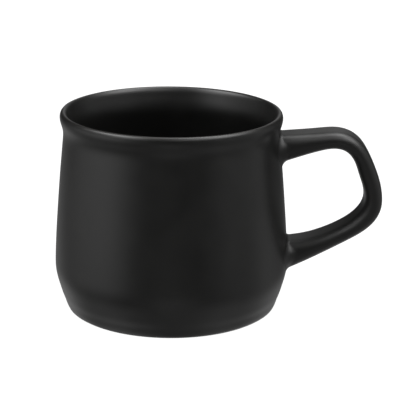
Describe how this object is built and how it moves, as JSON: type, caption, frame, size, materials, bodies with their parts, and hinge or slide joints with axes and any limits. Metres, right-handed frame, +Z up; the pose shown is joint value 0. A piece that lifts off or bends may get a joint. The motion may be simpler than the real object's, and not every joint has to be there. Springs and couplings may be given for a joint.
{
  "type": "ceramic mug",
  "caption": "Stoneware mug with a flared lip, gently tapered wall, bevelled foot and a strap handle joined to the neck and the belly by two slip joints.",
  "frame": {"origin": "on the body's axis, at the plane that the foot ring stands on; the recess inside the foot ring lies 0.8 mm above it", "axes": "+X from the body's axis towards the handle, +Z up out of the mouth, +Y completes the right-handed frame"},
  "size_m": [0.1341, 0.096, 0.082],
  "materials": {
    "black_glaze": "satin-matt black glaze over stoneware, thinner at the lip and edges; the foot ring's flat is left unglazed"
  },
  "bodies": {
    "root": {"mug_body": "black_glaze", "handle": "black_glaze", "handle_slip_upper": "black_glaze", "handle_slip_lower": "black_glaze"}
  },
  "joints": []
}
